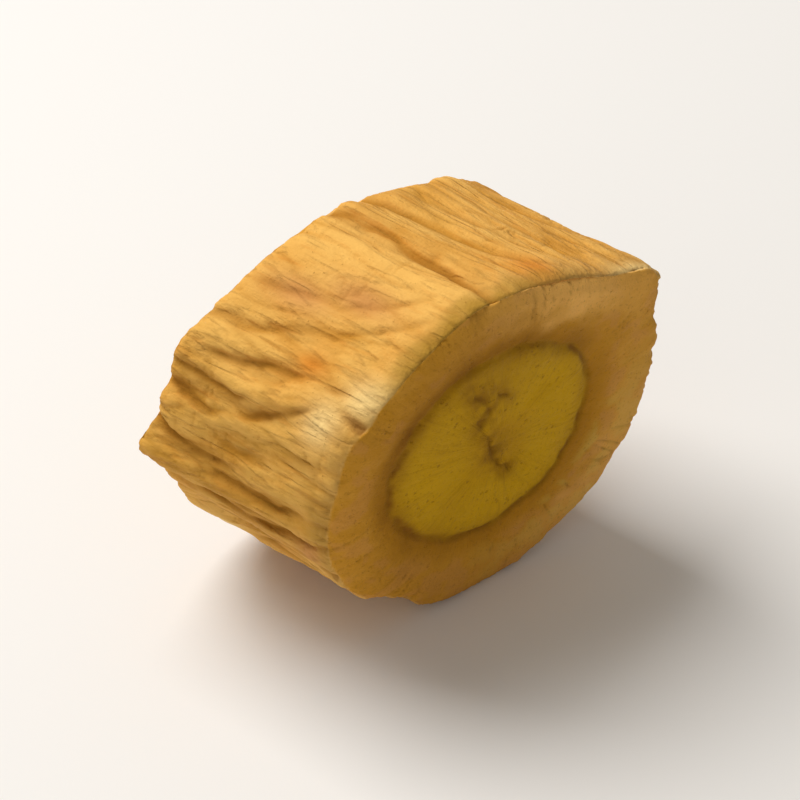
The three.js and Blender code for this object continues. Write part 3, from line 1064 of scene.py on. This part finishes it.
class CUTROOT_OT_root(bpy.types.Operator):
    """Finish the root: bark with its folds and wrinkles, and two cut faces with ring, rays and cracks"""

    bl_idname = "cutroot.root"
    bl_label = "Root Piece"

    def execute(self, context):
        bark, face = context.scene.cutroot_bark, context.scene.cutroot_face
        piece = copy_of_solid("root_piece")
        shape_root(piece, bark, face)
        for polygon in piece.data.polygons:
            polygon.use_smooth = True
        piece.data.materials.clear()
        piece.data.materials.append(root_material(bark, face))
        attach(piece, "root")
        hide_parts(NODE)
        return {"FINISHED"}


def area_light(name, kind, target, power):
    """A square soft light on the listed side of the target, looking at it."""
    light = bpy.data.lights.new(name, "AREA")
    light.size, light.energy, light.color = kind["size"], power, kind["colour"]
    lamp = bpy.data.objects.new(name, light)
    lamp.location = target + LIGHT_DISTANCE * Vector(kind["side"]).normalized()
    lamp.rotation_euler = (target - lamp.location).to_track_quat("-Z", "Y").to_euler()
    bpy.context.scene.collection.objects.link(lamp)


class CUTROOT_OT_stage(bpy.types.Operator):
    """Set up the camera, the soft light and a plain pale floor"""

    bl_idname = "cutroot.stage"
    bl_label = "Stage"

    def execute(self, context):
        stage = context.scene.cutroot_stage
        low, high = (Vector(corner) for corner in SOLID_BOX)
        middle = (low + high) / 2
        self.camera(context, stage, middle)
        self.lights(context, stage, middle)
        self.floor(context, stage)
        context.scene.view_settings.view_transform = "Standard"
        return {"FINISHED"}

    @staticmethod
    def camera(context, stage, middle):
        data = bpy.data.cameras.new("Camera")
        data.lens = stage.lens
        distance = stage.view_width * data.lens / data.sensor_width
        back = Vector(
            (
                math.sin(stage.azimuth) * math.cos(stage.elevation),
                -math.cos(stage.azimuth) * math.cos(stage.elevation),
                math.sin(stage.elevation),
            )
        )
        camera = bpy.data.objects.new("Camera", data)
        camera.location = middle + distance * back
        camera.rotation_euler = back.to_track_quat("Z", "Y").to_euler()
        data.clip_start, data.clip_end = 0.1 * distance, 10 * distance
        context.scene.collection.objects.link(camera)
        context.scene.camera = camera

    @staticmethod
    def lights(context, stage, middle):
        area_light("Key", KEY_LIGHT, middle, stage.key_strength)
        area_light("Fill", FILL_LIGHT, middle, stage.fill_strength)
        world = bpy.data.worlds.new("Studio")
        world.use_nodes = True
        background = world.node_tree.nodes["Background"]
        background.inputs["Color"].default_value = (*SKY_COLOUR, 1)
        background.inputs["Strength"].default_value = stage.sky_strength
        context.scene.world = world

    @staticmethod
    def floor(context, stage):
        bpy.ops.object.select_all(action="DESELECT")
        bpy.ops.mesh.primitive_plane_add(size=FLOOR_SIZE, location=(0, 0, 0))
        floor = context.active_object
        floor.name = "floor"
        material = bpy.data.materials.new("Floor")
        material.use_nodes = True
        surface = material.node_tree.nodes["Principled BSDF"]
        surface.inputs["Base Color"].default_value = (*stage.floor_colour, 1)
        surface.inputs["Roughness"].default_value = 0.9
        floor.data.materials.append(material)


class CUTROOT_PT_panel(bpy.types.Panel):
    """Lists the steps and their sizes and colours"""

    bl_idname = "CUTROOT_PT_panel"
    bl_label = "Cut Astragalus Root"
    bl_space_type = "VIEW_3D"
    bl_region_type = "UI"
    bl_category = "Cut Root"

    def draw(self, context):
        for operator, group in STEPS:
            self.layout.operator(operator.bl_idname)
            for name in group:
                settings = getattr(context.scene, name)
                for key in settings.bl_rna.properties.keys():
                    if key not in ("rna_type", "name"):
                        self.layout.prop(settings, key)


STEPS = (
    (CUTROOT_OT_root, ("cutroot_bark", "cutroot_face")),
    (CUTROOT_OT_stage, ("cutroot_stage",)),
)
SETTINGS = {
    "cutroot_bark": RootBarkSettings,
    "cutroot_face": RootFaceSettings,
    "cutroot_stage": RootStageSettings,
}


def register():
    for group in SETTINGS.values():
        bpy.utils.register_class(group)
    for name, group in SETTINGS.items():
        setattr(bpy.types.Scene, name, PointerProperty(type=group))
    for operator, _ in STEPS:
        bpy.utils.register_class(operator)
    bpy.utils.register_class(CUTROOT_PT_panel)


def unregister():
    bpy.utils.unregister_class(CUTROOT_PT_panel)
    for operator, _ in reversed(STEPS):
        bpy.utils.unregister_class(operator)
    for name, group in SETTINGS.items():
        delattr(bpy.types.Scene, name)
        bpy.utils.unregister_class(group)


def main():
    register()
    bpy.ops.cutroot.root()
    bpy.ops.cutroot.stage()


if __name__ == "__main__":
    main()
